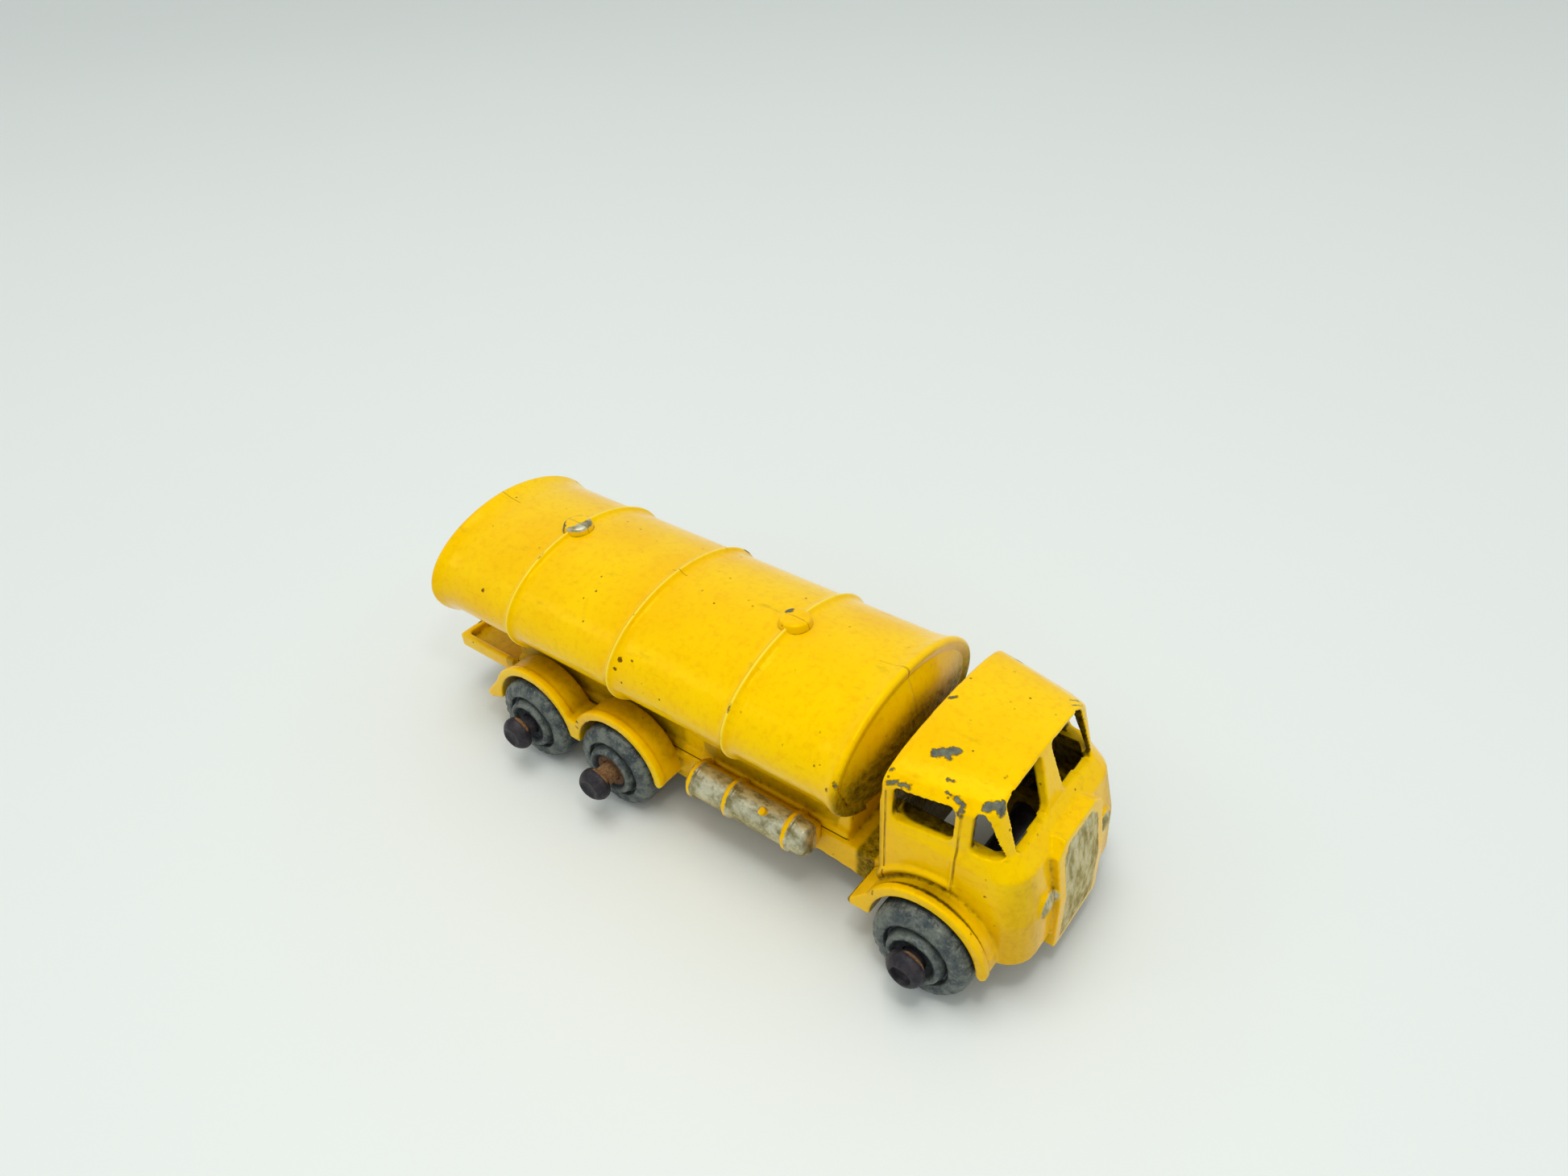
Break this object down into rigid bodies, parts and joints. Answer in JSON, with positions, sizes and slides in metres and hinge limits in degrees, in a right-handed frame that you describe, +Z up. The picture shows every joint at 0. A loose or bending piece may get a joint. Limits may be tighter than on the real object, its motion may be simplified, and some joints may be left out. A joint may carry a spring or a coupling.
{
  "type": "toy tanker lorry",
  "caption": "Small die-cast toy tanker lorry with a banded oval tank, forward-control cab, arched mudguards and cast wheels turning on headed axle pins; rolls along a floor",
  "frame": {"origin": "on the floor under the middle of the lorry", "axes": "+X towards the cab's front, +Y to the lorry's left, +Z up"},
  "size_m": [0.051, 0.0219, 0.0164],
  "materials": {
    "enamel": "warm yellow gloss enamel over zinc alloy, worn through to grey metal on the edges",
    "silver_trim": "thin hand-applied silver paint, rubbed and streaky",
    "bare_zinc": "unpainted cast zinc alloy, dull blue-grey and oxidised",
    "axle_steel": "mild steel pin browned by age, rust on the shank"
  },
  "bodies": {
    "body_casting": {"chassis_frame": "enamel", "tank_saddle": "enamel", "tank_barrel": "enamel", "tank_rim_rear": "enamel", "tank_band_rear": "enamel", "tank_band_middle": "enamel", "tank_band_front": "enamel", "tank_rim_front": "enamel", "filler_cap_rear": "enamel", "filler_cap_front": "enamel", "cab_shell": "enamel", "grille_surround": "enamel", "grille_plate": "silver_trim", "headlamp_left": "silver_trim", "headlamp_right": "silver_trim", "mudguard_front_left": "enamel", "mudguard_front_right": "enamel", "mudguard_rear_left": "enamel", "mudguard_rear_right": "enamel", "fuel_tank_left": "silver_trim", "fuel_tank_right": "silver_trim", "fuel_tank_straps_left": "enamel", "fuel_tank_straps_right": "enamel", "fuel_filler_left": "enamel", "fuel_filler_right": "enamel"},
    "axle_front": {"axle_front": "axle_steel"},
    "wheel_front_left": {"wheel_front_left": "bare_zinc"},
    "wheel_front_right": {"wheel_front_right": "bare_zinc"},
    "axle_middle": {"axle_middle": "axle_steel"},
    "wheel_middle_left": {"wheel_middle_left": "bare_zinc"},
    "wheel_middle_right": {"wheel_middle_right": "bare_zinc"},
    "axle_rear": {"axle_rear": "axle_steel"},
    "wheel_rear_left": {"wheel_rear_left": "bare_zinc"},
    "wheel_rear_right": {"wheel_rear_right": "bare_zinc"}
  },
  "joints": [
    {"name": "axle_front_slide", "type": "slide", "parent": "body_casting", "child": "axle_front", "axis": [0, 1, 0], "range_m": [-0.00016, 0.0003]},
    {"name": "wheel_front_left_spin", "type": "hinge", "parent": "body_casting", "child": "wheel_front_left", "pos_m": [0.0194, 0.0079, 0.00335], "axis": [0, 1, 0], "continuous": true},
    {"name": "wheel_front_right_spin", "type": "hinge", "parent": "body_casting", "child": "wheel_front_right", "pos_m": [0.0194, -0.0079, 0.00335], "axis": [0, 1, 0], "continuous": true},
    {"name": "axle_middle_slide", "type": "slide", "parent": "body_casting", "child": "axle_middle", "axis": [0, 1, 0], "range_m": [-0.00076, 0.001]},
    {"name": "wheel_middle_left_spin", "type": "hinge", "parent": "body_casting", "child": "wheel_middle_left", "pos_m": [-0.0061, 0.00725, 0.00335], "axis": [0, 1, 0], "continuous": true},
    {"name": "wheel_middle_right_spin", "type": "hinge", "parent": "body_casting", "child": "wheel_middle_right", "pos_m": [-0.0061, -0.00725, 0.00335], "axis": [0, 1, 0], "continuous": true},
    {"name": "axle_rear_slide", "type": "slide", "parent": "body_casting", "child": "axle_rear", "axis": [0, 1, 0], "range_m": [-0.00108, 0.00068]},
    {"name": "wheel_rear_left_spin", "type": "hinge", "parent": "body_casting", "child": "wheel_rear_left", "pos_m": [-0.0145, 0.00725, 0.00335], "axis": [0, 1, 0], "continuous": true},
    {"name": "wheel_rear_right_spin", "type": "hinge", "parent": "body_casting", "child": "wheel_rear_right", "pos_m": [-0.0145, -0.00725, 0.00335], "axis": [0, 1, 0], "continuous": true}
  ]
}
